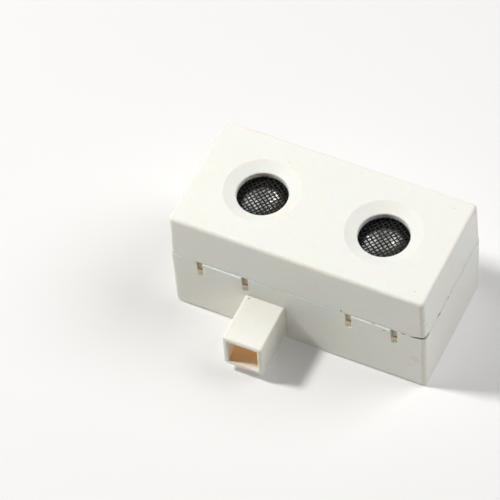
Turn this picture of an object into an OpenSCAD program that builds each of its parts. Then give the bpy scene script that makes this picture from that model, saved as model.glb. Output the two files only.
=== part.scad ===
// Ultrasonic distance sensor: a two-shell box with a transmitter and a receiver behind dished
// apertures, and a square stem that plugs it into a building kit. Millimetres, +Z is the sensing
// direction, the origin is the centre of the rear face.

/* [Case] */
// Length of the case along X
case_l = 60; // [59:0.5:64]
// Depth of the case along Y
case_d = 29.8; // [29.4:0.1:32]
// Height from the rear face to the sensing face
case_h = 29.5; // [29.2:0.1:31]
// Height of the seam between the rear base and the front cover
seam_z = 17.4; // [17:0.1:18]
// Thickness of the walls
wall = 1.9; // [1.7:0.1:2.1]
// Thickness of the rear base's floor
floor_t = 1.9; // [1.5:0.1:2.2]
// Radius of the upright corners
corner_r = 1.1; // [0.8:0.1:1.4]
// Radius of the edges round the sensing face and the rear face
edge_r = 0.9; // [0.6:0.1:1.1]
// How far each side leans in over a shell's height, so that it leaves its mould
draft = 0.18; // [0.1:0.02:0.3]
// How far the rear base's rim stands out past the front cover
rim_step = 0.12; // [0.05:0.01:0.2]

/* [Apertures] */
// Distance between the two apertures
aperture_pitch = 28.4; // [28:0.1:29]
// Radius of the hole in front of each transducer
hole_r = 5.65; // [5.4:0.05:6]
// Outer radius of the dish round each hole
dish_r = 8.5; // [8:0.05:8.8]
// Depth of the dish
dish_depth = 1.2; // [0.9:0.1:1.4]
// Height of the straight wall below the dish
hole_wall = 1.3; // [1.1:0.1:1.4]

/* [Seam] */
// Depth of the front cover's skirt inside the rear base
skirt_depth = 3.0; // [2.6:0.1:3.2]
// Thickness of the thin lip of the rear base that laps the skirt
lip_t = 0.85; // [0.7:0.05:1]
// Width of each slit beside a snap tongue
slit_w = 1.5; // [1.2:0.1:1.8]
// Height of each slit below the seam
slit_h = 4.6; // [4.2:0.1:5]
// Distance from the middle of the case to the middle of each snap tongue
tongue_x = 17.45; // [17:0.05:18]
// Distance between the two slits beside one tongue
slit_gap = 10.65; // [10:0.05:11]
// How far the top of a tongue stands out past the rim
tongue_lean = 0.26; // [0.1:0.02:0.35]
// Height of the pry notch at the cover's front right corner
notch_h = 0.56; // [0.2:0.02:0.6]

/* [Stem] */
// Width of the square stem
stem_w = 9.3; // [9:0.1:9.6]
// Width of the square socket in the stem
socket_w = 7.1; // [6.8:0.1:7.2]
// Length of the stem outside the case
stem_l = 12.2; // [10:0.1:15]
// Depth of the socket from the stem's end
socket_depth = 18; // [16:0.5:20]
// Stem centre along X
stem_x = -7.5; // [-9:0.5:-6]
// Stem centre above the rear face
stem_z = 6.95; // [6.8:0.05:7.1]
// Radius of the stem's edges
stem_r = 0.5; // [0.2:0.05:0.6]

/* [Transducers] */
// Radius of a transducer's aluminium can
can_r = 8.1; // [8:0.05:8.15]
// Height of a transducer's can
can_h = 12; // [11.6:0.1:12]
// Distance between the strands of the woven grille
mesh_pitch = 0.86; // [0.8:0.02:1]
// Thickness of the grille's strands
strand_d = 0.32; // [0.24:0.02:0.36]
// Direction of the grille's strands
mesh_angle = 54; // [0:1:90]
// Rim radius of the resonator cone
cone_r = 4.8; // [4.4:0.1:5]

/* [Circuit board] */
// Length of the board
board_l = 55.6; // [54:0.2:55.8]
// Depth of the board
board_d = 25.4; // [25:0.2:25.6]
// Thickness of the board
board_t = 1.6; // [1.4:0.1:1.6]
// Height of the board's lower face above the rear face
board_z = 12.6; // [12.4:0.1:12.6]
// Distance from the middle to a board screw, along X
screw_x = 24.5; // [24:0.1:24.8]
// Distance from the middle to a board screw, along Y
screw_y = 9.5; // [9.3:0.1:9.7]

/* [Hidden] */

$fn = 64;
hull_fn = 32;
eps = 0.01;
slack = 0.05;
sides = [-1, 1];

transmitter_x = -aperture_pitch / 2;
receiver_x = aperture_pitch / 2;

// The inside of both shells
inside_l = case_l - 2 * wall;
inside_d = case_d - 2 * wall;
inside_r = 0.6;
ceiling_z = case_h - 2;

// The seam: the base's thin lip outside, the cover's skirt inside it
lip_l = case_l - 2 * lip_t;
lip_d = case_d - 2 * lip_t;
skirt_z = seam_z - skirt_depth;
ledge_z = skirt_z - 0.8;
tongue_w = slit_gap - slit_w;

// Heights in a transducer, from its front down
hole_z = case_h - dish_depth;
seat_z = hole_z - hole_wall;
sleeve_lip_t = 0.35;
can_z1 = seat_z - slack - sleeve_lip_t;
can_z0 = can_z1 - can_h;
can_t = 0.5;
can_lip_t = 0.3;
can_lip_r = 7.1;
grille_r = can_r - can_t - slack;
grille_z1 = can_z1 - can_lip_t;
cone_z1 = grille_z1 - 1.9;
cone_h = 2.4;
cone_t = 0.25;
cone_hub_r = 1.1;
plate_r = 5;
plate_t = 0.4;
plate_z = cone_z1 - cone_h - cone_t - plate_t;
piezo_r = 4.6;
piezo_t = 0.4;
piezo_z = plate_z - piezo_t;
plug_t = 2.6;
pedestal_r = 4.2;
pedestal_h = 1.6;
plug_z1 = can_z0 + plug_t;
ring_r0 = 3;
ring_r1 = 4;
pin_r = 0.45;
pin_gap = 10;
pin_tail = 1.5;
sleeve_r = 8.85;
sleeve_h = 8;
sleeve_lip_r = 6.7;
collar_r0 = sleeve_r + 0.1;
collar_r1 = 10.2;
collar_z = 20.2;

// The circuit board and what is on it
board_top = board_z + board_t;
screw_r = 1;
screw_l = 7;
head_r = 1.9;
head_h = 1.3;
post_r = 2.3;
chip_w = 3.9;
chip_h = 1.4;
chip_standoff = 0.15;
lead_pitch = 1.27;
lead_w = 0.42;
lead_t = 0.2;
// Each chip: place along X, place along Y, number of leads on a side
micro_at = [14.2, -6.4, 7];
amplifier_at = [-17.2, -6.2, 7];
driver_at = [14.2, 6, 4];

// The cable connector in the wall opposite the stem
plug_w = 12.4;
plug_h = 6;
plug_y0 = 6.3;
plug_y1 = case_d / 2 - 0.4;
plug_skin = 0.8;
plug_pocket = 5.6;
contact_w = 0.64;
contact_pitch = 2.5;
contact_count = 4;
contact_z = board_z - plug_h / 2;
contact_y = 7.4;

ivory = [0.93, 0.93, 0.88];
black = [0.08, 0.08, 0.08];
alu = [0.8, 0.8, 0.8];
tin = [0.75, 0.75, 0.72];

function arc(centre, r, from, to, steps) =
    [for (i = [0:steps]) let (a = from + (to - from) * i / steps) centre + r * [cos(a), sin(a)]];

module rounded_plan(l, d, r) {
    square([l - 2 * r, d], center = true);
    square([l, d - 2 * r], center = true);
    for (x = sides, y = sides) translate([x * (l / 2 - r), y * (d / 2 - r)]) circle(r);
}

module slab(l, d, r, z0, z1) {
    translate([0, 0, z0]) linear_extrude(z1 - z0) rounded_plan(l, d, r);
}

// One corner of a rounded block: an upright of radius r, its bottom edge rounded to edge
module corner_foot(r, edge) {
    rotate_extrude($fn = hull_fn) polygon(concat(
        [[0, 0]],
        arc([r - edge, edge], edge, -90, 0, 6),
        [[0, edge]]));
}

// A shell's outer shape, from a rounded closed face at z = 0, widening by draft over height h
module shell_outer(l, d, h) {
    past = 1;
    intersection() {
        hull() for (x = sides, y = sides) {
            translate([x * (l / 2 - draft - corner_r), y * (d / 2 - draft - corner_r), 0])
                corner_foot(corner_r, edge_r);
            lean = draft * past / h;
            translate([x * (l / 2 + lean - corner_r), y * (d / 2 + lean - corner_r), h + past - eps])
                cylinder(r = corner_r, h = eps, $fn = hull_fn);
        }
        translate([-l, -d, -1]) cube([2 * l, 2 * d, h + 1]);
    }
}

module rear_base() color(ivory) {
    post_h = board_z - floor_t + 1;
    difference() {
        union() {
            difference() {
                shell_outer(case_l, case_d, seam_z);
                slab(inside_l, inside_d, inside_r, floor_t, seam_z + 1);
            }
            for (x = sides, y = sides) translate([x * screw_x, y * screw_y, floor_t - 1])
                cylinder(r = post_r, h = post_h);
            stem_outer();
            for (y = sides, x = sides) tongue(x, y);
        }
        slab(lip_l, lip_d, inside_r + 0.4, ledge_z, seam_z + 1);
        for (x = sides, y = sides) translate([x * screw_x, y * screw_y, board_z - screw_l])
            cylinder(r = screw_r + slack, h = screw_l + 1);
        stem_socket();
        for (y = sides, x = sides, s = sides) slit(x * tongue_x + s * slit_gap / 2, y);
        connector_window();
    }
}

// The outside of a snap tongue leans out a little towards its top
module tongue(x, y) {
    out = case_d / 2;
    root_z = seam_z - slit_h;
    top_r = 0.1;
    mirror([0, (1 - y) / 2, 0]) translate([x * tongue_x - tongue_w / 2, 0, 0])
        rotate([90, 0, 90]) linear_extrude(tongue_w) polygon([
            [out - lip_t / 2, root_z],
            [out - 0.1, root_z],
            [out + tongue_lean, seam_z - 0.3],
            [out + tongue_lean, seam_z - top_r],
            [out + tongue_lean - top_r, seam_z],
            [out - lip_t / 2, seam_z]]);
}

// A slit through the thin lip, open at the seam and rounded at its foot
module slit(x, y) {
    foot_r = 0.35;
    side = slit_w / 2;
    past = slit_h + 1;
    mirror([0, (1 - y) / 2, 0]) translate([x, lip_d / 2 + lip_t + 1, seam_z - slit_h])
        rotate([90, 0, 0]) linear_extrude(lip_t + 1 + eps) polygon(concat(
            arc([foot_r - side, foot_r], foot_r, 180, 270, 4),
            arc([side - foot_r, foot_r], foot_r, 270, 360, 4),
            [[side, past], [-side, past]]));
}

// The square stem, with a closed box behind it inside the case
module stem_outer() {
    out_y = -case_d / 2 - stem_l;
    root_y = -case_d / 2 - out_y + wall / 2;
    box_l = socket_depth - stem_l + 1.2;
    hull() for (x = sides, z = sides)
        translate([stem_x + x * (stem_w / 2 - stem_r), out_y, stem_z + z * (stem_w / 2 - stem_r)])
            rotate([-90, 0, 0]) {
                corner_foot(stem_r, stem_r);
                translate([0, 0, root_y]) cylinder(r = stem_r, h = eps, $fn = hull_fn);
            }
    translate([stem_x - stem_w / 2, -case_d / 2 + wall / 2, floor_t / 2])
        cube([stem_w, box_l - wall / 2, stem_z + stem_w / 2 - floor_t / 2]);
}

module stem_socket() {
    mouth = 0.15;
    translate([stem_x, -case_d / 2 - stem_l, stem_z]) rotate([-90, 0, 0]) {
        translate([0, 0, socket_depth / 2 - 0.5])
            cube([socket_w, socket_w, socket_depth + 1], center = true);
        translate([0, 0, -eps]) rotate([0, 0, 45])
            cylinder(d1 = (socket_w + 2 * mouth) * sqrt(2), d2 = socket_w * sqrt(2), h = mouth, $fn = 4);
    }
}

module connector_window() {
    gap = 0.15;
    translate([-plug_w / 2 - gap, inside_d / 2 - 1, board_z - plug_h - gap])
        cube([plug_w + 2 * gap, wall + 3, plug_h + 2 * gap]);
}

module front_cover() color(ivory) {
    cover_l = case_l - 2 * rim_step;
    cover_d = case_d - 2 * rim_step;
    difference() {
        union() {
            difference() {
                translate([0, 0, case_h]) mirror([0, 0, 1])
                    shell_outer(cover_l, cover_d, case_h - seam_z);
                slab(inside_l, inside_d, inside_r, seam_z - 1, ceiling_z);
            }
            difference() {
                slab(lip_l - 2 * slack, lip_d - 2 * slack, inside_r + 0.4, skirt_z, seam_z + 0.5);
                slab(inside_l, inside_d, inside_r, skirt_z - 1, ceiling_z);
            }
            for (x = sides) translate([x * aperture_pitch / 2, 0, collar_z])
                cylinder(r = collar_r1, h = case_h - 1 - collar_z);
        }
        for (x = sides) translate([x * aperture_pitch / 2, 0, 0]) {
            dish();
            translate([0, 0, collar_z - 1]) cylinder(r = collar_r0, h = seat_z - collar_z + 1);
        }
        pry_notch();
    }
}

// What is cut away for an aperture: a shallow bowl with rounded edges, then a straight hole
module dish() {
    rise = atan(dish_depth / (dish_r - hole_r));
    bend = 2;
    bowl_r = norm([dish_depth, dish_r - hole_r]) / 2 / sin(bend);
    low = rise - bend;
    high = rise + bend;
    bowl = [hole_r, hole_z] + bowl_r * [-sin(low), cos(low)];
    rim_r = 0.3;
    rim = [dish_r + rim_r * tan(high / 2), case_h - rim_r];
    edge = 0.35;
    edge_at = [hole_r + edge, hole_z + edge * (tan(low) - 1 / cos(low))];
    rim_trim = atan(rim_r / bowl_r);
    edge_trim = atan(edge / bowl_r);
    rotate_extrude($fn = 96) polygon(concat(
        [[0, case_h + 1], [rim[0], case_h + 1]],
        arc(rim, rim_r, 90, 90 + high, 4),
        arc(bowl, bowl_r, high - 90 - rim_trim, low - 90 + edge_trim, 6),
        arc(edge_at, edge, 90 + low, 180, 6),
        [[hole_r, seat_z - 1], [0, seat_z - 1]]));
}

// A thin crescent under the cover's front right corner, where a blade can open the case
module pry_notch() {
    reach = 2.1;
    r = (reach * reach + notch_h * notch_h) / 2 / notch_h;
    translate([case_l / 2, -case_d / 2, seam_z + notch_h - r])
        rotate([0, 0, 45]) rotate([90, 0, 0]) cylinder(r = r, h = 4, center = true);
}

module circuit_board() color([0.05, 0.35, 0.16]) {
    translate([0, 0, board_z]) linear_extrude(board_t) difference() {
        rounded_plan(board_l, board_d, 1);
        for (x = sides, y = sides) translate([x * screw_x, y * screw_y]) circle(screw_r + 0.15);
        for (x = sides, p = sides) translate([x * aperture_pitch / 2 + p * pin_gap / 2, 0])
            circle(pin_r + 0.1);
        for (i = [0:contact_count - 1]) translate([contact_x(i), contact_y]) circle(0.5);
    }
}

function contact_x(i) = (i - (contact_count - 1) / 2) * contact_pitch;

module board_screws() color(tin) {
    for (x = sides, y = sides) translate([x * screw_x, y * screw_y, board_top]) {
        translate([0, 0, 1 - screw_l]) cylinder(r = screw_r, h = screw_l - 1 + eps);
        difference() {
            rotate_extrude() polygon(concat(
                [[0, 0], [head_r, 0]],
                arc([head_r - 0.7, head_h - 0.7], 0.7, 0, 90, 5),
                [[0, head_h]]));
            for (a = [45, 135]) translate([0, 0, head_h]) rotate([0, 0, a])
                cube([2.2, 0.45, 1.2], center = true);
        }
    }
}

module transducer_can(x) color(alu) {
    translate([x, 0, 0]) rotate_extrude() polygon(concat(
        [[can_r - can_t, can_z0], [can_r, can_z0]],
        arc([can_r - 0.4, can_z1 - 0.4], 0.4, 0, 90, 4),
        [[can_lip_r, can_z1], [can_lip_r, grille_z1], [can_r - can_t, grille_z1]]));
}

module transducer_grille(x) color(black) {
    reach = can_lip_r - 0.6;
    count = ceil(reach / mesh_pitch);
    translate([x, 0, grille_z1 - strand_d]) linear_extrude(strand_d) rotate(mesh_angle)
        difference() {
            circle(grille_r);
            for (i = [-count:count], j = [-count:count]) if (norm([i, j]) * mesh_pitch < reach)
                translate([i, j] * mesh_pitch) square(mesh_pitch - strand_d, center = true);
        }
}

module transducer_cone(x) color(alu) {
    translate([x, 0, 0]) rotate_extrude() polygon([
        [0, cone_z1 - cone_h - cone_t], [cone_hub_r, cone_z1 - cone_h - cone_t],
        [cone_r, cone_z1 - cone_t], [cone_r, cone_z1], [cone_r - 0.3, cone_z1],
        [cone_hub_r, cone_z1 - cone_h], [0, cone_z1 - cone_h]]);
}

module transducer_plate(x) color(alu) {
    translate([x, 0, plate_z]) cylinder(r = plate_r, h = plate_t);
}

module transducer_piezo(x) color([0.85, 0.83, 0.75]) {
    translate([x, 0, piezo_z]) cylinder(r = piezo_r, h = piezo_t);
}

module transducer_ring(x) color([0.7, 0.7, 0.7]) {
    bottom = plug_z1 + pedestal_h;
    translate([x, 0, bottom]) difference() {
        cylinder(r = ring_r1, h = piezo_z - bottom);
        translate([0, 0, -1]) cylinder(r = ring_r0, h = piezo_z - bottom + 2);
    }
}

module transducer_plug(x) color(black) {
    translate([x, 0, can_z0]) difference() {
        union() {
            cylinder(r = can_r - can_t - slack, h = plug_t);
            cylinder(r = pedestal_r, h = plug_t + pedestal_h);
        }
        for (p = sides) translate([p * pin_gap / 2, 0, -1]) cylinder(r = pin_r + eps, h = plug_t + 2);
    }
}

module transducer_pins(x) color(tin) {
    for (p = sides) translate([x + p * pin_gap / 2, 0, board_z - pin_tail]) rotate_extrude()
        polygon([[0, 0], [pin_r - 0.2, 0], [pin_r, 0.3], [pin_r, plug_z1 + 0.5 - board_z + pin_tail],
            [0, plug_z1 + 0.5 - board_z + pin_tail]]);
}

module transducer_sleeve(x) color([0.15, 0.15, 0.15]) {
    top = seat_z - slack;
    translate([x, 0, 0]) rotate_extrude() polygon([
        [can_r + eps, top - sleeve_h], [sleeve_r, top - sleeve_h], [sleeve_r, top],
        [sleeve_lip_r, top], [sleeve_lip_r, can_z1], [can_r + eps, can_z1]]);
}

// Puts a part that stands on z = 0 under the board, upside down
module under_board(x, y) {
    translate([x, y, board_z]) mirror([0, 0, 1]) children();
}

// The moulded body of a chip, with its sides bevelled to a middle line
module chip(at) color(black) {
    l = at[2] * lead_pitch - 0.2;
    mid = chip_h / 2;
    bevel = 0.15;
    under_board(at[0], at[1]) difference() {
        translate([-l / 2, 0, chip_standoff]) rotate([90, 0, 90]) linear_extrude(l) polygon([
            [-chip_w / 2 + bevel, 0], [chip_w / 2 - bevel, 0], [chip_w / 2, mid],
            [chip_w / 2 - bevel, chip_h], [-chip_w / 2 + bevel, chip_h], [-chip_w / 2, mid]]);
        translate([-l / 2 + 0.8, -chip_w / 2 + 0.9, chip_standoff + chip_h - 0.1])
            cylinder(r = 0.35, h = 1);
    }
}

module chip_leads() color(tin) {
    knee = chip_w / 2 + 0.45;
    toe = 3;
    rise = chip_standoff + chip_h / 2;
    for (at = [micro_at, amplifier_at, driver_at]) under_board(at[0], at[1])
        for (i = [0:at[2] - 1], s = sides)
            translate([(i - (at[2] - 1) / 2) * lead_pitch - lead_w / 2, 0, 0])
                mirror([0, (1 - s) / 2, 0]) rotate([90, 0, 90]) linear_extrude(lead_w) polygon([
                    [chip_w / 2, rise - lead_t / 2], [knee - lead_t, rise - lead_t / 2],
                    [knee, 0], [toe, 0], [toe, lead_t], [knee + lead_t, lead_t],
                    [knee, rise + lead_t / 2], [chip_w / 2, rise + lead_t / 2]]);
}

module crystal() color(alu) {
    body_h = 3.4;
    under_board(0, -1.4) {
        linear_extrude(0.4) stadium(11, 4.7);
        linear_extrude(body_h) stadium(10.2, 3.9);
    }
}

module stadium(l, w) {
    square([l - w, w], center = true);
    for (s = sides) translate([s * (l - w) / 2, 0]) circle(w / 2);
}

module drive_transformer() color(alu) {
    side = 7;
    tall = 8;
    translate([0, -7, board_top]) difference() {
        linear_extrude(tall) rounded_plan(side, side, 0.6);
        translate([0, 0, tall - 1]) cylinder(r = 1.6, h = 2);
    }
}

module electrolytic_capacitors() color(alu) {
    r = 2;
    tall = 5.4;
    for (x = sides) translate([x * 25.5, 0, board_top]) {
        linear_extrude(0.6) difference() {
            square(2 * r, center = true);
            for (s = sides) translate([r, s * r]) rotate(45) square(1, center = true);
        }
        rotate_extrude() polygon([[0, 0.5], [r - 0.05, 0.5], [r - 0.05, 1.1], [r - 0.25, 1.3],
            [r - 0.05, 1.5], [r - 0.05, tall - 0.3], [r - 0.3, tall], [0, tall]]);
    }
}

module chip_component(tall) {
    translate([-1, -0.625, 0]) cube([2, 1.25, tall]);
}

module ceramic_capacitors() color([0.7, 0.55, 0.38]) {
    for (y = [0, 2.6]) translate([0, y, board_top]) chip_component(0.9);
    for (x = [-22.5, -14.2, 14.2, 22.5]) under_board(x, 2.4) chip_component(0.9);
}

module resistors() color(black) {
    for (i = [0:3], row = [0, 1]) under_board(-20.5 + 3.4 * i, 5.4 + 2.6 * row) chip_component(0.5);
    for (i = [0:2]) under_board(10.5 + 3.4 * i, 10.4) chip_component(0.5);
}

module connector_housing() color([0.9, 0.9, 0.86]) {
    bottom = board_z - plug_h;
    key_w = 1.4;
    difference() {
        translate([-plug_w / 2, plug_y0, bottom]) cube([plug_w, plug_y1 - plug_y0, plug_h]);
        translate([-plug_w / 2 + plug_skin, plug_y1 - plug_pocket, bottom + plug_skin])
            cube([plug_w - 2 * plug_skin, plug_pocket + 1, plug_h - 2 * plug_skin]);
        for (s = sides) translate([s * 2.6 - key_w / 2, plug_y1 - plug_pocket, bottom - 1])
            cube([key_w, plug_pocket + 1, 2]);
        for (i = [0:contact_count - 1]) translate([contact_x(i), 0, 0]) contact(slack);
    }
}

// One bent contact pin; grow widens it for the hole that it sits in
module contact(grow) {
    w = contact_w + 2 * grow;
    translate([-w / 2, contact_y - w / 2, contact_z - w / 2])
        cube([w, plug_y1 - 0.8 - contact_y + w / 2 + grow, w]);
    translate([-w / 2, contact_y - w / 2, contact_z - w / 2])
        cube([w, w, board_top + 0.8 - contact_z + w / 2]);
}

module connector_pins() color([0.85, 0.7, 0.35]) {
    for (i = [0:contact_count - 1]) translate([contact_x(i), 0, 0]) contact(0);
}

rear_base();
front_cover();
circuit_board();
board_screws();
transducer_can(transmitter_x);  // transmitter_can
transducer_grille(transmitter_x);  // transmitter_grille
transducer_cone(transmitter_x);  // transmitter_cone
transducer_plate(transmitter_x);  // transmitter_bender_plate
transducer_piezo(transmitter_x);  // transmitter_piezo_disc
transducer_ring(transmitter_x);  // transmitter_support_ring
transducer_plug(transmitter_x);  // transmitter_base_plug
transducer_pins(transmitter_x);  // transmitter_pins
transducer_sleeve(transmitter_x);  // transmitter_sleeve
transducer_can(receiver_x);  // receiver_can
transducer_grille(receiver_x);  // receiver_grille
transducer_cone(receiver_x);  // receiver_cone
transducer_plate(receiver_x);  // receiver_bender_plate
transducer_piezo(receiver_x);  // receiver_piezo_disc
transducer_ring(receiver_x);  // receiver_support_ring
transducer_plug(receiver_x);  // receiver_base_plug
transducer_pins(receiver_x);  // receiver_pins
transducer_sleeve(receiver_x);  // receiver_sleeve
chip(micro_at);  // microcontroller
chip(amplifier_at);  // echo_amplifier
chip(driver_at);  // pulse_driver
chip_leads();
crystal();
drive_transformer();
electrolytic_capacitors();
ceramic_capacitors();
resistors();
connector_housing();
connector_pins();
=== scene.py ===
"""Looks for the ultrasonic distance sensor: materials, woven grilles, solder, light and camera."""

import math
import random

import bpy
from mathutils import Matrix, Vector


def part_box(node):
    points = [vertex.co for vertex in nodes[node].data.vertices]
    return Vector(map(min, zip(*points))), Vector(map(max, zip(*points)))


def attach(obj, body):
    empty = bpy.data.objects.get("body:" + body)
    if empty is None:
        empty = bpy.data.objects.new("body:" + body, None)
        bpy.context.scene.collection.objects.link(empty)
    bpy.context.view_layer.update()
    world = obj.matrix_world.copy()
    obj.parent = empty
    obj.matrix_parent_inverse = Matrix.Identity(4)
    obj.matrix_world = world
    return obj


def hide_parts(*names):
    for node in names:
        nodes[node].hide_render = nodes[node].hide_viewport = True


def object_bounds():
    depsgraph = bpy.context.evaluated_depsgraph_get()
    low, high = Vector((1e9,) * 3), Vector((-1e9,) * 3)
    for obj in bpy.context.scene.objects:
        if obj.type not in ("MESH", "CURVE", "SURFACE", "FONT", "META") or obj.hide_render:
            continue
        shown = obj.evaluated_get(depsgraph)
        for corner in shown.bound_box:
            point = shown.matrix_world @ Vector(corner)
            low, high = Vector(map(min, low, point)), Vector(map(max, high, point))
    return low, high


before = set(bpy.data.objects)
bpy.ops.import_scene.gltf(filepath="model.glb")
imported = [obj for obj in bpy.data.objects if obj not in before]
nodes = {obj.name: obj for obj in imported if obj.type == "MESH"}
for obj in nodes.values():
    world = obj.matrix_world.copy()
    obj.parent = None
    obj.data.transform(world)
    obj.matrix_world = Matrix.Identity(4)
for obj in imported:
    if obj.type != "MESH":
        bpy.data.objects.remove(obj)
cad_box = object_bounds()
MM = 0.001
SIDES = ("transmitter", "receiver")
WHITE = (1.0, 1.0, 1.0)
BLACK = (0.0, 0.0, 0.0)
# The same along all three axes
EVENLY = (1.0, 1.0, 1.0)

# ---------------------------------------------------------------- camera

CAMERA_AZIMUTH = math.radians(29.052)
CAMERA_ELEVATION = math.radians(53.333)
CAMERA_ROLL = math.radians(4.947)
CAMERA_DISTANCE = 864.85 * MM
CAMERA_AIM = Vector((-15.144, -5.918, 15.0)) * MM
CAMERA_LENS = 288.74
CAMERA_SENSOR = 36.0
CAMERA_CLIP = (0.05, 20.0)


def link(obj):
    bpy.context.scene.collection.objects.link(obj)
    return obj


def aimed(position, target, roll=0.0):
    """The matrix of a camera or lamp at position that looks at target, turned clockwise by roll."""
    forward = (target - position).normalized()
    level = forward.cross(Vector((0, 0, 1))).normalized()
    upright = level.cross(forward)
    right = level * math.cos(roll) - upright * math.sin(roll)
    up = right.cross(forward)
    turn = Matrix((right, up, -forward)).transposed().to_4x4()
    return Matrix.Translation(position) @ turn


def from_angles(azimuth, elevation, distance, centre):
    """A point that far from centre. Azimuth 0 is in front, on the -Y side, and 90 degrees is on +X."""
    flat = math.cos(elevation)
    away = Vector((math.sin(azimuth) * flat, -math.cos(azimuth) * flat, math.sin(elevation)))
    return centre + away * distance


def make_camera():
    data = bpy.data.cameras.new("camera")
    data.sensor_width = CAMERA_SENSOR
    data.lens = CAMERA_LENS
    data.clip_start, data.clip_end = CAMERA_CLIP
    camera = link(bpy.data.objects.new("camera", data))
    place = from_angles(CAMERA_AZIMUTH, CAMERA_ELEVATION, CAMERA_DISTANCE, CAMERA_AIM)
    camera.matrix_world = aimed(place, CAMERA_AIM, CAMERA_ROLL)
    bpy.context.scene.camera = camera


# ---------------------------------------------------------------- light

LAMP_AIM = Vector((0, 0, 15)) * MM
# For each lamp: azimuth and elevation in degrees, distance and width in metres, watts, colour
LAMPS = {
    "key": (-75, 52, 0.9, 0.15, 7.0, (1.0, 1.0, 0.985)),
    "back_right": (125, 50, 0.9, 0.6, 4.6, (1.0, 1.0, 1.03)),
}
# How bright the world is to the camera, and to a glossy reflection; it lights nothing else
BACKDROP = 0.85
MIRRORED = 0.42


def make_lamps():
    for name, (azimuth, elevation, distance, width, power, colour) in LAMPS.items():
        data = bpy.data.lights.new(name, "AREA")
        data.shape = "DISK"
        data.size = width
        data.energy = power
        data.color = colour
        lamp = link(bpy.data.objects.new(name, data))
        place = from_angles(math.radians(azimuth), math.radians(elevation), distance, LAMP_AIM)
        lamp.matrix_world = aimed(place, LAMP_AIM)


def make_world():
    """A white world that only the camera and glossy reflections see."""
    world = bpy.data.worlds.new("studio")
    world.use_nodes = True
    tree = world.node_tree
    background = tree.nodes["Background"]
    background.inputs["Color"].default_value = (*WHITE, 1.0)
    ray = tree.nodes.new("ShaderNodeLightPath").outputs
    mirrored = tree.nodes.new("ShaderNodeMath")
    mirrored.operation = "MULTIPLY"
    mirrored.inputs[1].default_value = MIRRORED
    strength = tree.nodes.new("ShaderNodeMath")
    strength.operation = "MULTIPLY_ADD"
    strength.inputs[1].default_value = BACKDROP
    tree.links.new(ray["Is Glossy Ray"], mirrored.inputs[0])
    tree.links.new(ray["Is Camera Ray"], strength.inputs[0])
    tree.links.new(mirrored.outputs[0], strength.inputs[2])
    tree.links.new(strength.outputs[0], background.inputs["Strength"])
    bpy.context.scene.world = world


# ---------------------------------------------------------------- how materials are written


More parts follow.
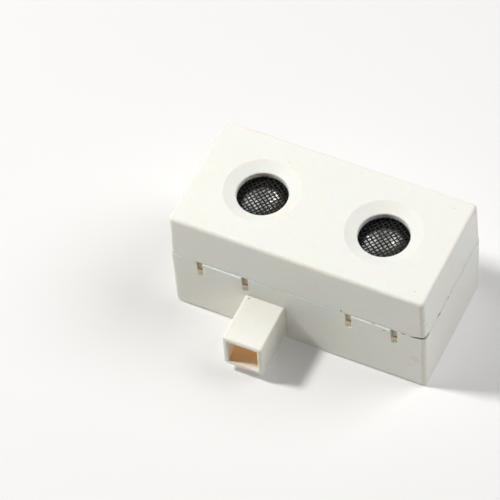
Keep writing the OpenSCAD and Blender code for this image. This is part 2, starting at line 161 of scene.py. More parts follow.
class Paint:
    """A material's node tree, with short calls that make its nodes and join them.

    Lengths are in millimetres of the row frame, and x, y and z are a point's place in it.
    """

    def __init__(self, name):
        self.material = bpy.data.materials.new(name)
        self.material.use_nodes = True
        self.tree = self.material.node_tree
        self.shader = self.tree.nodes["Principled BSDF"]
        place = self.node("TexCoord").outputs["Object"]
        self.place = self.vector("SCALE", place, scale=1 / MM)
        self.x, self.y, self.z = self.split(self.place)

    def node(self, kind, **settings):
        made = self.tree.nodes.new("ShaderNode" + kind)
        for key, value in settings.items():
            setattr(made, key, value)
        return made

    def put(self, socket, value):
        """Joins another node's output to a socket, or sets the socket to a number or colour."""
        if isinstance(value, bpy.types.NodeSocket):
            self.tree.links.new(value, socket)
        elif isinstance(value, (tuple, list)) and len(value) == 3 and len(socket.default_value) == 4:
            socket.default_value = (*value, 1.0)
        else:
            socket.default_value = value

    def set(self, **values):
        """Sets inputs of the shader, each named in lower case with underscores."""
        for name, value in values.items():
            self.put(self.shader.inputs[name.replace("_", " ").title().replace("Ior", "IOR")], value)

    def math(self, operation, a, b=0.0):
        made = self.node("Math", operation=operation)
        self.put(made.inputs[0], a)
        self.put(made.inputs[1], b)
        return made.outputs[0]

    def times(self, first, *others):
        for other in others:
            first = self.math("MULTIPLY", first, other)
        return first

    def absolute(self, value):
        return self.math("ABSOLUTE", value)

    def inverse(self, mask):
        return self.math("SUBTRACT", 1.0, mask)

    def vector(self, operation, a, b=None, scale=None):
        made = self.node("VectorMath", operation=operation)
        self.put(made.inputs[0], a)
        if b is not None:
            self.put(made.inputs[1], b)
        if scale is not None:
            self.put(made.inputs["Scale"], scale)
        return made.outputs["Value" if operation in ("LENGTH", "DOT_PRODUCT") else "Vector"]

    def split(self, vector):
        made = self.node("SeparateXYZ")
        self.put(made.inputs[0], vector)
        return made.outputs

    def join(self, x, y, z):
        made = self.node("CombineXYZ")
        for socket, value in zip(made.inputs, (x, y, z)):
            self.put(socket, value)
        return made.outputs[0]

    def between(self, value, low, high, to_low=0.0, to_high=1.0, smooth=True):
        """Value from low to high, mapped onto to_low to to_high and held at its ends."""
        kind = "SMOOTHSTEP" if smooth else "LINEAR"
        made = self.node("MapRange", interpolation_type=kind, clamp=True)
        ends = {"From Min": low, "From Max": high, "To Min": to_low, "To Max": to_high}
        for name, number in ends.items():
            self.put(made.inputs[name], number)
        self.put(made.inputs["Value"], value)
        return made.outputs[0]

    def before(self, value, low, high):
        """1 up to low, falling to 0 at high."""
        return self.between(value, low, high, 1.0, 0.0)

    def within(self, value, low, high, soft=0.1):
        """1 where the value is between low and high, and 0 past soft beyond them."""
        rising = self.between(value, low - soft, low)
        return self.times(rising, self.before(value, high, high + soft))

    def spread(self, noise, low, high):
        """The middle of a noise, mapped onto low to high."""
        return self.between(noise, 0.3, 0.7, low, high)

    def mix(self, amount, a, b):
        made = self.node("Mix", data_type="RGBA", clamp_factor=True)
        self.put(made.inputs[0], amount)
        self.put(made.inputs[6], a)
        self.put(made.inputs[7], b)
        return made.outputs[2]

    def noise(self, scale, detail=2.0, roughness=0.5, place=None):
        made = self.node("TexNoise")
        self.put(made.inputs["Vector"], self.place if place is None else place)
        self.put(made.inputs["Scale"], scale)
        self.put(made.inputs["Detail"], detail)
        self.put(made.inputs["Roughness"], roughness)
        return made.outputs["Fac"]

    def cells(self, scale, feature="F1", place=None):
        made = self.node("TexVoronoi", feature=feature)
        self.put(made.inputs["Vector"], self.place if place is None else place)
        self.put(made.inputs["Scale"], scale)
        return made

    def stretched(self, x, y, z):
        """The place, with each axis scaled, so that noise read there runs along the small ones."""
        return self.vector("MULTIPLY", self.place, (x, y, z))

    def hollow(self, distance, samples=8):
        """How shut in a point is, from 0 in the open to 1 in a deep gap."""
        made = self.node("AmbientOcclusion", samples=samples)
        self.put(made.inputs["Distance"], distance * MM)
        return self.inverse(made.outputs["AO"])

    def bump(self, height, depth, normal=None):
        """A normal from a height of 0 to 1 that stands for depth millimetres."""
        made = self.node("Bump")
        self.put(made.inputs["Height"], height)
        self.put(made.inputs["Distance"], depth * MM)
        self.put(made.inputs["Strength"], 1.0)
        if normal is not None:
            self.put(made.inputs["Normal"], normal)
        return made.outputs[0]

    def spots(self, scale, size, share):
        """Specks of about that radius, in that share of the cells of a random grid."""
        radius = size * scale
        cell = self.cells(scale)
        wobble = self.times(self.noise(scale * 14), radius)
        reach = self.math("ADD", wobble, radius * 0.5)
        inside = self.math("LESS_THAN", cell.outputs["Distance"], reach)
        kept = self.math("LESS_THAN", self.split(cell.outputs["Color"])[0], share)
        return self.times(inside, kept)

    def near(self, point, radius, stretch=EVENLY):
        """1 close to a point, falling to 0 at about radius times stretch, with a ragged edge."""
        solid, ragged = radius * 0.4, radius * 0.3
        apart = self.vector("SUBTRACT", self.place, point)
        away = self.vector("LENGTH", self.vector("DIVIDE", apart, stretch))
        away = self.math("ADD", away, self.spread(self.noise(1.3 / radius), -ragged, ragged))
        return self.before(away, solid, radius)


# ---------------------------------------------------------------- the case's plastic

# Ranges of height, in millimetres
CLEAR_OF_FLOOR = (2.6, 3.3)
SEAM = (17.25, 17.95)
INSIDE_COVER = (20.0, 24.0)
TONGUE_FOOT = (12.4, 13.8)
TONGUE_SLIT = (14.25, 17.2)
UNDARKENED_EDGE = (0.5, 2.0)
# How far the lip is from the case's middle along Y, and where the last slit is left behind along X
LIP = (13.9, 14.6)
PAST_SLITS = (25.0, 26.0)
# How far along Y from the case's middle the gaps begin to show a painted glow, and where they glow in full
NEAR_WALL = (8.0, 17.0)
MIDDLE_GLOW = 0.12
# The corner where a blade opens the case
NOTCH = (29.6, -14.6, 17.5)
NOTCH_REACH = 3.2
# How far hollow() looks about for each kind of gap, in millimetres
DEEP_GAP = 14.0
SLIT_GAP = 1.8
NOTCH_GAP = 0.8
DIRT_AND_SHADE_GAP = 0.5
# Specks: cells of the grid for each millimetre, radius in millimetres, share of the cells with one
SPECKS = (0.16, 0.13, 0.07)

IVORY = ((0.868, 0.863, 0.80), (0.885, 0.878, 0.808))
IVORY_MOTTLE = (0.84, 0.83, 0.765)
IVORY_GRAIN = (0.78, 0.775, 0.72)
# Painted shade and light: the warm, darker colour of deep gaps
PAINTED_RECESS_WARMTH = (0.78, 0.59, 0.32)
# Painted shade: the colour of the cover's skirt behind the slits
SLIT_SHADE = (0.48, 0.40, 0.23)
# Dirt and painted shade in narrow gaps and in the notch
DIRT_AND_SHADE = (0.16, 0.13, 0.10)
SPECK = (0.30, 0.26, 0.19)
MARK = (0.13, 0.13, 0.09)
# Painted glow: colours with which the gaps and the tongues' feet shine by themselves
GAP_GLOW = (1.0, 0.58, 0.22)
FOOT_GLOW = (0.9, 0.85, 0.7)

# How a mark along the seam is stretched
ALONG_X = (4.0, 1.0, 0.7)
ALONG_Y = (1.0, 4.0, 0.7)
# Marks of use: where each is and how far it reaches, in millimetres, how dark it is, and its stretch
MARKS = [
    ((10.5, -14.9, 17.8), 0.35, 0.75),
    ((20.6, -15.1, 16.6), 0.3, 0.7),
    ((25.0, -14.9, 17.4), 0.22, 0.75, ALONG_X),
    ((27.3, -14.9, 17.42), 0.25, 0.8, ALONG_X),
    ((18.0, -14.9, 17.4), 0.14, 0.5, ALONG_X),
    ((29.9, -7.3, 17.4), 0.22, 0.85, ALONG_Y),
    ((29.9, -2.4, 17.4), 0.15, 0.7, ALONG_Y),
    ((29.9, -0.6, 17.4), 0.12, 0.5, ALONG_Y),
    ((5.0, -14.8, 24.5), 0.22, 0.6),
    ((27.3, -14.8, 9.4), 1.3, 0.1),
    ((26.2, -14.8, 6.8), 0.9, 0.06),
    ((29.7, -13.4, 21.6), 0.8, 0.12),
    ((29.6, -14.3, 24.0), 0.2, 0.5),
    ((-11.1, -15.5, 11.6), 0.28, 0.8),
    ((25.5, 11.4, 29.5), 0.25, 0.3),
    ((26.5, -11.7, 29.5), 0.22, 0.3),
    ((-12.1, 9.0, 29.5), 0.2, 0.3),
    ((3.5, 12.6, 29.5), 0.2, 0.3),
]


def gap_masks(p):
    """Where light and shade are painted on the plastic, for light that comes through it and shade in its
    gaps: deep gaps, the lip, the tongues' feet and the slits.
    """
    lip = p.times(p.within(p.absolute(p.y), *LIP), p.before(p.absolute(p.x), *PAST_SLITS))
    foot = p.times(lip, p.within(p.z, *TONGUE_FOOT))
    slit = p.times(p.between(p.hollow(SLIT_GAP), 0.08, 0.35), p.within(p.z, *TONGUE_SLIT), lip)
    deep = p.times(p.between(p.hollow(DEEP_GAP), 0.6, 0.95), p.between(p.z, *CLEAR_OF_FLOOR))
    deep = p.times(deep, p.inverse(p.within(p.z, *SEAM)), p.before(p.z, *INSIDE_COVER))
    deep = p.times(deep, p.inverse(p.times(foot, 0.85)))
    return deep, lip, foot, slit


def dirt_and_shade_mask(p):
    """Dirt and painted shade in narrow gaps, and more of both in the notch at the corner, where the shadow
    in the open seam is painted.
    """
    gap_dark = p.times(p.between(p.hollow(DIRT_AND_SHADE_GAP, 6), 0.25, 0.75), p.between(p.z, *UNDARKENED_EDGE))
    gap_dark = p.times(gap_dark, p.between(p.noise(0.8, 3), 0.35, 0.75, 0.1, 0.55))
    notch_shade_and_dirt = p.times(p.between(p.hollow(NOTCH_GAP, 6), 0.2, 0.45), p.near(NOTCH, NOTCH_REACH))
    return p.math("MAXIMUM", gap_dark, notch_shade_and_dirt)


def marks_mask(p):
    darkest = 0.0
    for point, radius, strength, *stretch in MARKS:
        mark = p.times(p.near(point, radius, *stretch), strength)
        darkest = p.math("MAXIMUM", darkest, mark)
    return darkest


def ivory_plastic():
    """The case's plastic: near white, and painted warmer and darker in its gaps, as painted shade and
    light where light has to pass through it to reach a gap.
    """
    p = Paint("ivory_abs")
    deep, lip, foot, slit = gap_masks(p)
    base = p.mix(p.between(p.noise(0.05, 3), 0.35, 0.65), *IVORY)
    base = p.mix(p.spread(p.noise(1.1, 4, 0.6), 0.0, 0.35), base, IVORY_MOTTLE)
    base = p.mix(p.between(p.noise(7.0, 2, 0.6), 0.35, 0.7, 0.0, 0.12), base, IVORY_GRAIN)
    # Painted shade and light: deep gaps are tinted darker and orange, for their shade and for the light
    # that comes through the plastic
    base = p.mix(p.times(deep, 0.85), base, PAINTED_RECESS_WARMTH)
    # Painted shade: the skirt seen behind each slit is tinted brown and dark, for the shade it lies in
    base = p.mix(p.times(slit, 0.55), base, SLIT_SHADE)
    # Dirt and painted shade: darker in narrow gaps and in the corner notch
    base = p.mix(dirt_and_shade_mask(p), base, DIRT_AND_SHADE)
    base = p.mix(p.times(p.spots(*SPECKS), 0.45), base, SPECK)
    base = p.mix(marks_mask(p), base, MARK)
    p.set(base_color=base)
    p.set(subsurface_weight=0.5, subsurface_radius=(1.0, 0.6, 0.25), subsurface_scale=1.2 * MM)
    # Painted glow: the deep gaps and the tongues' feet shine by themselves, for light that comes through
    # the plastic
    glow = p.times(deep, p.between(p.absolute(p.y), *NEAR_WALL, MIDDLE_GLOW, 1.0), p.inverse(lip))
    glow = p.mix(foot, p.mix(glow, BLACK, GAP_GLOW), FOOT_GLOW)
    p.set(emission_color=glow, emission_strength=0.13)
    p.set(roughness=p.spread(p.noise(2.2, 3), 0.5, 0.6), specular_ior_level=0.32)
    wavy = p.bump(p.noise(0.12, 1), 0.05)
    p.set(normal=p.bump(p.noise(9.0, 2), 0.0035, wavy))
    return p.material


# ---------------------------------------------------------------- metals

# The rings that a lathe leaves, in millimetres
RING_PITCH = 0.16
RING_DEPTH = 0.004
# Painted shade: which way the cones' inside is painted darker, to dim a lamp's reflection on that side,
# over how many millimetres, and how dark it gets
CONE_SHADE_WAY = (0.9, -0.44, 0.0)
CONE_SHADE_REACH = 4.0
CONE_SHADE_TINT = (0.1, 0.096, 0.078)


def metal(name, base, dark, roughness, across=(4.0, 4.0, 0.15), grain=0.004, wear=0.4):
    """A plain metal with fine tool marks that run along the axis with the smallest number in across."""
    p = Paint(name)
    lines = p.noise(3.0, 4, 0.7, p.stretched(*across))
    cloud = p.noise(0.5, 3)
    colour = p.mix(p.spread(lines, 0.0, wear), base, dark)
    colour = p.mix(p.between(cloud, 0.45, 0.8, 0.0, 0.35), colour, dark)
    p.set(base_color=colour, metallic=1.0)
    p.set(roughness=p.spread(p.noise(1.3, 3), roughness * 0.8, roughness * 1.25))
    p.set(normal=p.bump(lines, grain))
    return p.material


def rings(name, base, dark, roughness, centres, metallic=1.0, shade_share=0.0):
    """Metal spun round an axis along Z: fine rings about whichever centre is on its side of the case, with
    one side painted darker as painted shade.
    """
    p = Paint(name)
    left, right = centres
    centre = p.math("ADD", left, p.times(p.math("GREATER_THAN", p.x, 0.0), right - left))
    flat = p.join(p.math("SUBTRACT", p.x, centre), p.y, 0.0)
    radius = p.vector("LENGTH", flat)
    turned = p.noise(1.0 / RING_PITCH, 2, 0.6, p.join(radius, p.times(p.z, 0.7), 0.0))
    cloud = p.noise(0.9, 3)
    colour = p.mix(p.spread(turned, 0.0, 0.5), base, dark)
    colour = p.mix(p.between(cloud, 0.5, 0.8, 0.0, 0.3), colour, dark)
    # Painted shade: one side of the inside is darkened, to dim a lamp's reflection there
    away = p.math("DIVIDE", p.vector("DOT_PRODUCT", flat, CONE_SHADE_WAY), CONE_SHADE_REACH)
    away = p.math("ADD", away, p.spread(cloud, -0.25, 0.25))
    cone_shade = p.times(p.between(away, -0.5, 0.4), shade_share)
    colour = p.mix(cone_shade, colour, tuple(part * tint for part, tint in zip(dark, CONE_SHADE_TINT)))
    p.set(base_color=colour, metallic=metallic)
    p.set(roughness=p.spread(cloud, roughness * 0.8, roughness * 1.25))
    p.set(normal=p.bump(turned, RING_DEPTH))
    return p.material


def wire_paint():
    """Black paint on steel wire, with lighter patches here and there that stand for wear and for painted
    glints.
    """
    p = Paint("black_wire_paint")
    worn_and_glint = p.between(p.noise(1.6, 4, 0.7), 0.62, 0.78)
    colour = p.mix(p.noise(6.0, 2), (0.011, 0.011, 0.009), (0.021, 0.020, 0.016))
    # Wear and painted glints: lighter patches on the black paint
    colour = p.mix(p.times(worn_and_glint, 0.2), colour, (0.10, 0.09, 0.07))
    p.set(base_color=colour)
    p.set(roughness=p.spread(p.noise(5.0, 3), 0.45, 0.65), specular_ior_level=0.16)
    p.set(normal=p.bump(p.noise(12.0, 2), 0.006))
    return p.material


# ---------------------------------------------------------------- plastics and electronics

# The squares that the board's tracks follow, in millimetres
TRACK_GRID = (0.6, 0.6, 50.0)
# On the capacitors: the black seat's height, how soft its edge is, and where the moon's straight side is
CAN_SEAT = 0.6
CAN_EDGE = 0.05
MOON_SIDE = -0.7
# Where the chip components are along X, and half the length of each one's body between its end caps
CERAMIC_PLACES = (-22.5, -14.2, 0, 14.2, 22.5)
CERAMIC_HALF = 0.62
RESISTOR_STEP = 3.4
RESISTOR_HALF = 0.65
# Where each row of resistors starts, and how many it has
RESISTOR_ROWS = ((-20.5, 4), (10.5, 3))
RESISTOR_PLACES = [start + RESISTOR_STEP * i for start, count in RESISTOR_ROWS for i in range(count)]


def moulded(name, base, other, roughness, grain_size=5.0, depth=0.006):
    """A moulded plastic, rubber or ceramic, with a fine grain and a cloudy colour."""
    p = Paint(name)
    colour = p.mix(p.spread(p.noise(0.6, 4, 0.6), 0.0, 1.0), base, other)
    colour = p.mix(p.between(p.noise(grain_size, 2), 0.5, 0.8, 0.0, 0.3), colour, other)
    p.set(base_color=colour)
    p.set(roughness=p.spread(p.noise(2.0, 3), roughness * 0.85, min(1.0, roughness * 1.2)))
    p.set(normal=p.bump(p.noise(grain_size, 3), depth))
    return p.material


def solder_mask():
    """The board: green mask over copper tracks, with the glass weave showing at its edge."""
    p = Paint("solder_mask")
    cell = p.cells(0.34, "DISTANCE_TO_EDGE", p.vector("SNAP", p.place, TRACK_GRID))
    track = p.before(cell.outputs["Distance"], 0.05, 0.09)
    weave = p.noise(2.5, 2, 0.5, p.stretched(1.0, 6.0, 1.0))
    green = p.mix(p.spread(weave, 0.0, 1.0), (0.012, 0.11, 0.045), (0.018, 0.135, 0.055))
    green = p.mix(p.times(track, 0.7), green, (0.03, 0.21, 0.085))
    upward = p.split(p.node("NewGeometry").outputs["Normal"])[2]
    edge = p.math("LESS_THAN", p.absolute(upward), 0.9)
    glass = p.mix(p.noise(6.0, 2), (0.42, 0.40, 0.20), (0.30, 0.29, 0.13))
    p.set(base_color=p.mix(edge, green, glass))
    p.set(roughness=p.spread(p.noise(3.0, 3), 0.22, 0.36))
    p.set(normal=p.bump(track, 0.03, p.bump(weave, 0.006)))
    return p.material


def capacitor_cans():
    """Aluminium cans on black plastic seats, with the dark half-moon that marks the negative side."""
    p = Paint("capacitor_cans")
    low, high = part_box("electrolytic_capacitors")
    seat_top = low.z / MM + CAN_SEAT
    seat = p.before(p.z, seat_top - CAN_EDGE, seat_top + CAN_EDGE)
    top = p.math("GREATER_THAN", p.z, high.z / MM - CAN_EDGE)
    moon = p.times(top, p.math("LESS_THAN", p.y, MOON_SIDE))
    dark = p.math("MAXIMUM", seat, moon)
    lines = p.noise(4.0, 3, 0.6, p.stretched(3.0, 3.0, 0.4))
    silver = p.mix(p.spread(lines, 0.0, 1.0), (0.80, 0.80, 0.80), (0.66, 0.67, 0.68))
    black = p.mix(p.noise(2.0), (0.02, 0.02, 0.022), (0.05, 0.05, 0.05))
    p.set(base_color=p.mix(dark, silver, black))
    p.set(metallic=p.inverse(dark))
    p.set(roughness=p.spread(lines, 0.28, 0.42), normal=p.bump(lines, 0.004))
    return p.material


def chip_parts(name, body, other, centres, half, roughness):
    """Chip components along X: a fired body with a tinned end cap past half a body from each centre."""
    p = Paint(name)
    away, *others = [p.absolute(p.math("SUBTRACT", p.x, centre)) for centre in centres]
    for distance in others:
        away = p.math("MINIMUM", away, distance)
    ragged = p.math("ADD", away, p.spread(p.noise(6.0), -0.04, 0.04))
    cap = p.between(ragged, half - 0.03, half + 0.03)
    inner = p.mix(p.noise(3.0, 3), body, other)
    tin = p.mix(p.noise(4.0, 3), (0.72, 0.72, 0.70), (0.58, 0.58, 0.57))
    p.set(base_color=p.mix(cap, inner, tin), metallic=cap)
    p.set(roughness=p.spread(p.noise(5.0, 3), roughness, roughness + 0.2))
    p.set(normal=p.bump(p.noise(7.0, 3), 0.008))
    return p.material


# ---------------------------------------------------------------- floor

FLOOR_COLOUR = (0.72, 0.712, 0.70)
FLOOR_CLOUD = 0.99
FLOOR_WARMTH = (1.0, 0.985, 0.96)
# How strongly the floor shines by itself near the object, and from where to where that rises to BACKDROP
FLOOR_GLOW = 0.15
FLOOR_NEAR = 180
FLOOR_FAR = 1500
FLOOR_HALF = 4.0
FLOOR_GAP = 0.02 * MM


def floor_paint():
    """A pale floor that shines a little by itself, and more where the lamps no longer reach."""
    p = Paint("studio_floor")
    clouded = tuple(part * FLOOR_CLOUD for part in FLOOR_COLOUR)
    p.set(base_color=p.mix(p.noise(0.01, 3), FLOOR_COLOUR, clouded))
    p.set(roughness=0.75, specular_ior_level=0.2)
    away = p.vector("LENGTH", p.place)
    shine = p.between(away, FLOOR_NEAR, FLOOR_FAR, FLOOR_GLOW, BACKDROP, smooth=False)
    p.set(emission_color=FLOOR_WARMTH, emission_strength=shine)
    return p.material


def make_floor():
    half = FLOOR_HALF
    corners = [(-half, -half, 0), (half, -half, 0), (half, half, 0), (-half, half, 0)]
    data = bpy.data.meshes.new("floor")
    data.from_pydata(corners, [], [(0, 1, 2, 3)])
    data.materials.append(floor_paint())
    floor = link(bpy.data.objects.new("floor", data))
    floor.location.z = cad_box[0][2] - FLOOR_GAP


# ---------------------------------------------------------------- pieces made here

WEAVE_ANGLE = math.radians(54)
# How far apart the wires along and across that angle are: a cut of cloth is never quite square
WEAVE_PITCHES = {"transmitter": (0.825 * MM, 0.92 * MM), "receiver": (0.825 * MM, 0.975 * MM)}
WIRE_WIDTH = 0.35 * MM
WIRE_HEIGHT = 0.17 * MM
WIRE_SIDES = 8
STEPS_PER_PITCH = 6
# How far a wire strays as a whole, how far it swings to and fro, and over what length
WIRE_DRIFT = 0.025 * MM
WIRE_SWING = 0.02 * MM
SWING_LENGTH = 3 * MM
# How far the cloth stays inside the CAD grille's rim, and below its top
RIM_GAP = 0.05 * MM
TOP_GAP = 0.005 * MM

PIN_COUNT = 4
PIN_PITCH = 2.5 * MM
PIN_ROW = 7.4 * MM
SOLDER_SIDES = 24
# How much the fillets differ in width, and how far each one is from round
SOLDER_SPREAD = (0.94, 1.06)
SOLDER_WAVE = 0.04
# Radius, and height above the board, in millimetres
SOLDER_PROFILE = [
    (0.95, -0.03), (0.95, 0.02), (0.82, 0.07), (0.66, 0.2), (0.54, 0.38), (0.46, 0.58), (0.38, 0.68),
]


def mesh_object(name, points, faces, material):
    data = bpy.data.meshes.new(name)
    data.from_pydata(points, [], faces)
    data.materials.append(material)
    data.shade_smooth()
    data.validate()
    return link(bpy.data.objects.new(name, data))


def skin_rings(faces, first, rings_made, sides):
    """Adds the faces of a closed tube, given the index of the first point of its rings."""
    for ring in range(rings_made - 1):
        for k in range(sides):
            a = first + ring * sides + k
            b = first + ring * sides + (k + 1) % sides
            faces.append((a, b, b + sides, a + sides))
    last = first + (rings_made - 1) * sides
    faces.append(tuple(first + k for k in reversed(range(sides))))
    faces.append(tuple(last + k for k in range(sides)))


def add_wire(points, faces, path):
    """Adds a closed wire with an oval section along a path that runs almost flat."""
    first = len(points)
    for i, place in enumerate(path):
        along = (path[min(i + 1, len(path) - 1)] - path[max(i - 1, 0)]).normalized()
        side = along.cross(Vector((0, 0, 1))).normalized()
        up = side.cross(along)
        for k in range(WIRE_SIDES):
            turn = 2 * math.pi * k / WIRE_SIDES
            out = side * math.cos(turn) * WIRE_WIDTH / 2 + up * math.sin(turn) * WIRE_HEIGHT / 2
            points.append(place + out)
    skin_rings(faces, first, len(path), WIRE_SIDES)


def make_wire_cloth(side, material):
    """A disc of plain-woven wire cloth in place of a CAD grille.

    Each wire passes over and under the ones that it crosses.
    """
    node = side + "_grille"
    low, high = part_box(node)
    middle = (low + high) / 2
    reach = (high.x - low.x) / 2 - RIM_GAP
    rise = WIRE_HEIGHT / 2
    centre = Vector((middle.x, middle.y, high.z - 2 * rise - TOP_GAP))
    draw = random.Random(node)
    points, faces = [], []
    for family in (0, 1):
        pitch, spacing = WEAVE_PITCHES[side][family], WEAVE_PITCHES[side][1 - family]
        angle = WEAVE_ANGLE + family * math.pi / 2
        along = Vector((math.cos(angle), math.sin(angle), 0))
        across = Vector((-math.sin(angle), math.cos(angle), 0))
        count = int(reach / pitch)
        for row in range(-count, count + 1):
            offset = row * pitch
            half = math.sqrt(max(reach * reach - offset * offset, 0))
            if half < pitch:
                continue
            drift, swing, phase = draw.uniform(-1, 1), draw.uniform(-1, 1), draw.uniform(0, 6.28)
            sign = (-1) ** (row + family)
            steps = int(2 * half / spacing * STEPS_PER_PITCH)
            path = []
            for i in range(steps + 1):
                s = -half + 2 * half * i / steps
                wander = WIRE_DRIFT * drift + WIRE_SWING * swing * math.sin(s / SWING_LENGTH + phase)
                height = rise * sign * math.cos(math.pi * s / spacing)
                flat = along * s + across * (offset + wander)
                path.append(centre + flat + Vector((0, 0, height)))
            add_wire(points, faces, path)
    cloth = mesh_object(side + "_wire_cloth", points, faces, material)
    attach(cloth, "base")
    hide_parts(node)


def make_solder(material):
    """A solder fillet round each connector pin where it comes up through the board."""
    low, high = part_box("connector_pins")
    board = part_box("circuit_board")[1].z
    draw = random.Random("solder")
    points, faces = [], []
    for pin in range(PIN_COUNT):
        x = (low.x + high.x) / 2 + (pin - (PIN_COUNT - 1) / 2) * PIN_PITCH
        centre = Vector((x, PIN_ROW, board))
        spread = draw.uniform(*SOLDER_SPREAD)
        first = len(points)
        for radius, height in SOLDER_PROFILE:
            for k in range(SOLDER_SIDES):
                turn = 2 * math.pi * k / SOLDER_SIDES
                reach = radius * spread * (1 + SOLDER_WAVE * math.sin(2 * turn + pin))
                out = Vector((math.cos(turn) * reach, math.sin(turn) * reach, height))
                points.append(centre + out * MM)
        skin_rings(faces, first, len(SOLDER_PROFILE), SOLDER_SIDES)
    solder = mesh_object("contact_solder", points, faces, material)
    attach(solder, "base")


# ---------------------------------------------------------------- softer edges on the CAD meshes

# An edge is shaded smooth when it is blunter than this and beside a face that is smaller than this
SMOOTH_ANGLE = math.radians(40)
SMOOTH_FACE = 20 * MM * MM
WELD_DISTANCE = 0.0005 * MM
FLAT_ANGLE = math.radians(0.3)
ROUNDED_ANGLE = math.radians(40)
ROUNDED_SEGMENTS = 3
# How strongly large faces set the shading at their edges, out of 100
LARGE_FACE_WEIGHT = 100


def smooth_by_angle():
    """A node group that shades a mesh smooth, apart from its sharp edges and those between large faces."""
    group = bpy.data.node_groups.new("smooth_by_angle", "GeometryNodeTree")
    for way in ("INPUT", "OUTPUT"):
        group.interface.new_socket("Geometry", in_out=way, socket_type="NodeSocketGeometry")
    join = group.links.new

    def node(kind, **settings):
        made = group.nodes.new(kind)
        for key, value in settings.items():
            setattr(made, key, value)
        return made

    def below(value, limit):
        made = node("FunctionNodeCompare", operation="LESS_THAN")
        join(value, made.inputs["A"])
        made.inputs["B"].default_value = limit
        return made.outputs["Result"]

    start, end = node("NodeGroupInput"), node("NodeGroupOutput")
    angle = node("GeometryNodeInputMeshEdgeAngle")
    area = node("GeometryNodeInputMeshFaceArea")
    smallest = node("ShaderNodeMath", operation="MINIMUM")
    for side in (0, 1):
        corner = node("GeometryNodeCornersOfEdge")
        corner.inputs["Sort Index"].default_value = side
        face = node("GeometryNodeFaceOfCorner")
        join(corner.outputs["Corner Index"], face.inputs["Corner Index"])
        found = node("GeometryNodeFieldAtIndex", domain="FACE", data_type="FLOAT")
        join(area.outputs["Area"], found.inputs["Value"])
        join(face.outputs["Face Index"], found.inputs["Index"])
        join(found.outputs["Value"], smallest.inputs[side])
    both = node("FunctionNodeBooleanMath", operation="AND")
    join(below(angle.outputs["Unsigned Angle"], SMOOTH_ANGLE), both.inputs[0])
    join(below(smallest.outputs[0], SMOOTH_FACE), both.inputs[1])
    faces = node("GeometryNodeSetShadeSmooth")
    edges = node("GeometryNodeSetShadeSmooth", domain="EDGE")
    join(start.outputs[0], faces.inputs["Geometry"])
    join(faces.outputs["Geometry"], edges.inputs["Geometry"])
    join(both.outputs[0], edges.inputs["Shade Smooth"])
    join(edges.outputs["Geometry"], end.inputs[0])
    return group


def soften(obj, group, width):
    """Joins a CAD mesh's split faces, rounds its sharp edges by width millimetres and shades it smooth."""
    normals = obj.data.attributes.get("custom_normal")
    if normals is not None:
        obj.data.attributes.remove(normals)
    weld = obj.modifiers.new("weld", "WELD")
    weld.merge_threshold = WELD_DISTANCE
    if width:
        flatten = obj.modifiers.new("flatten", "DECIMATE")
        flatten.decimate_type = "DISSOLVE"
        flatten.angle_limit = FLAT_ANGLE
        bevel = obj.modifiers.new("round", "BEVEL")
        bevel.width = width * MM
        bevel.segments = ROUNDED_SEGMENTS
        bevel.limit_method = "ANGLE"
        bevel.angle_limit = ROUNDED_ANGLE
        bevel.use_clamp_overlap = True
        bevel.miter_outer = "MITER_ARC"
    shade = obj.modifiers.new("shade", "NODES")
    shade.node_group = group
    weigh = obj.modifiers.new("weigh", "WEIGHTED_NORMAL")
    weigh.weight = LARGE_FACE_WEIGHT
    weigh.keep_sharp = True


# ---------------------------------------------------------------- finishes for the CAD nodes

can_boxes = [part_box(side + "_can") for side in SIDES]
centres = [(low.x + high.x) / 2 / MM for low, high in can_boxes]

ivory = ivory_plastic()
drawn = metal("drawn_aluminium", (0.80, 0.81, 0.82), (0.62, 0.63, 0.64), 0.34)
spun = rings("spun_aluminium", (0.95, 0.95, 0.92), (0.86, 0.86, 0.83), 0.42, centres, 0.75, 0.93)
plate = rings("bender_plate", (0.82, 0.83, 0.84), (0.68, 0.69, 0.70), 0.36, centres)
tin = metal("tinned_brass", (0.76, 0.76, 0.74), (0.62, 0.61, 0.58), 0.28)
zinc = metal("zinc_plate", (0.66, 0.66, 0.63), (0.50, 0.49, 0.45), 0.3)
steel = metal("plated_can", (0.74, 0.74, 0.72), (0.62, 0.62, 0.60), 0.32, (0.15, 4.0, 4.0), 0.0015, 0.3)
brass = metal("contact_brass", (0.83, 0.64, 0.30), (0.66, 0.48, 0.20), 0.24)
solder_tin = metal("solder", (0.78, 0.78, 0.76), (0.66, 0.66, 0.64), 0.22, EVENLY, 0.003)
ceramic = moulded("piezo_ceramic", (0.62, 0.57, 0.45), (0.52, 0.47, 0.36), 0.6)
silicone = moulded("silicone", (0.60, 0.60, 0.58), (0.52, 0.52, 0.50), 0.55)
phenolic = moulded("phenolic", (0.03, 0.03, 0.03), (0.05, 0.048, 0.045), 0.5)
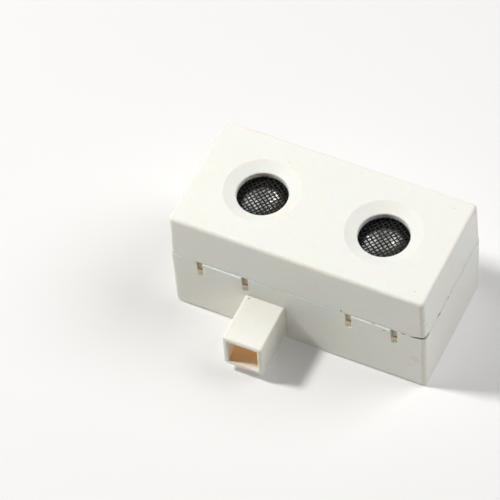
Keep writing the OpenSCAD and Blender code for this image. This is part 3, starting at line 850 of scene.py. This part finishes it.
rubber = moulded("rubber", (0.03, 0.03, 0.03), (0.055, 0.054, 0.05), 0.75, 7.0, 0.01)
epoxy = moulded("chip_epoxy", (0.025, 0.025, 0.028), (0.045, 0.045, 0.045), 0.55, 9.0)
nylon = moulded("connector_nylon", (0.80, 0.79, 0.73), (0.74, 0.72, 0.65), 0.45)
fired = chip_parts(
    "ceramic_capacitor", (0.50, 0.36, 0.22), (0.42, 0.29, 0.17), CERAMIC_PLACES, CERAMIC_HALF, 0.4)
glazed = chip_parts(
    "resistor_glaze", (0.03, 0.03, 0.03), (0.05, 0.05, 0.05), RESISTOR_PLACES, RESISTOR_HALF, 0.25)

# Each node's material, and how far its edges are rounded, in millimetres
FINISH = {
    "rear_base": (ivory, 0.05),
    "front_cover": (ivory, 0.025),
    "circuit_board": (solder_mask(), 0.04),
    "board_screws": (zinc, 0.03),
    "microcontroller": (epoxy, 0.03),
    "echo_amplifier": (epoxy, 0.03),
    "pulse_driver": (epoxy, 0.03),
    "chip_leads": (tin, 0),
    "crystal": (steel, 0.15),
    "drive_transformer": (steel, 0.25),
    "electrolytic_capacitors": (capacitor_cans(), 0.04),
    "ceramic_capacitors": (fired, 0.06),
    "resistors": (glazed, 0.04),
    "connector_housing": (nylon, 0.08),
    "connector_pins": (brass, 0.05),
}
for side in SIDES:
    FINISH.update({
        side + "_can": (drawn, 0.04),
        side + "_cone": (spun, 0.03),
        side + "_bender_plate": (plate, 0.04),
        side + "_piezo_disc": (ceramic, 0.04),
        side + "_support_ring": (silicone, 0.08),
        side + "_base_plug": (phenolic, 0.08),
        side + "_pins": (tin, 0),
        side + "_sleeve": (rubber, 0.08),
    })

group = smooth_by_angle()
for name, (material, width) in FINISH.items():
    obj = nodes[name]
    obj.data.materials.clear()
    obj.data.materials.append(material)
    soften(obj, group, width)

make_solder(solder_tin)
wire = wire_paint()
for side in SIDES:
    make_wire_cloth(side, wire)

make_camera()
make_lamps()
make_world()
make_floor()
bpy.context.scene.view_settings.view_transform = "Standard"

bpy.context.view_layer.update()
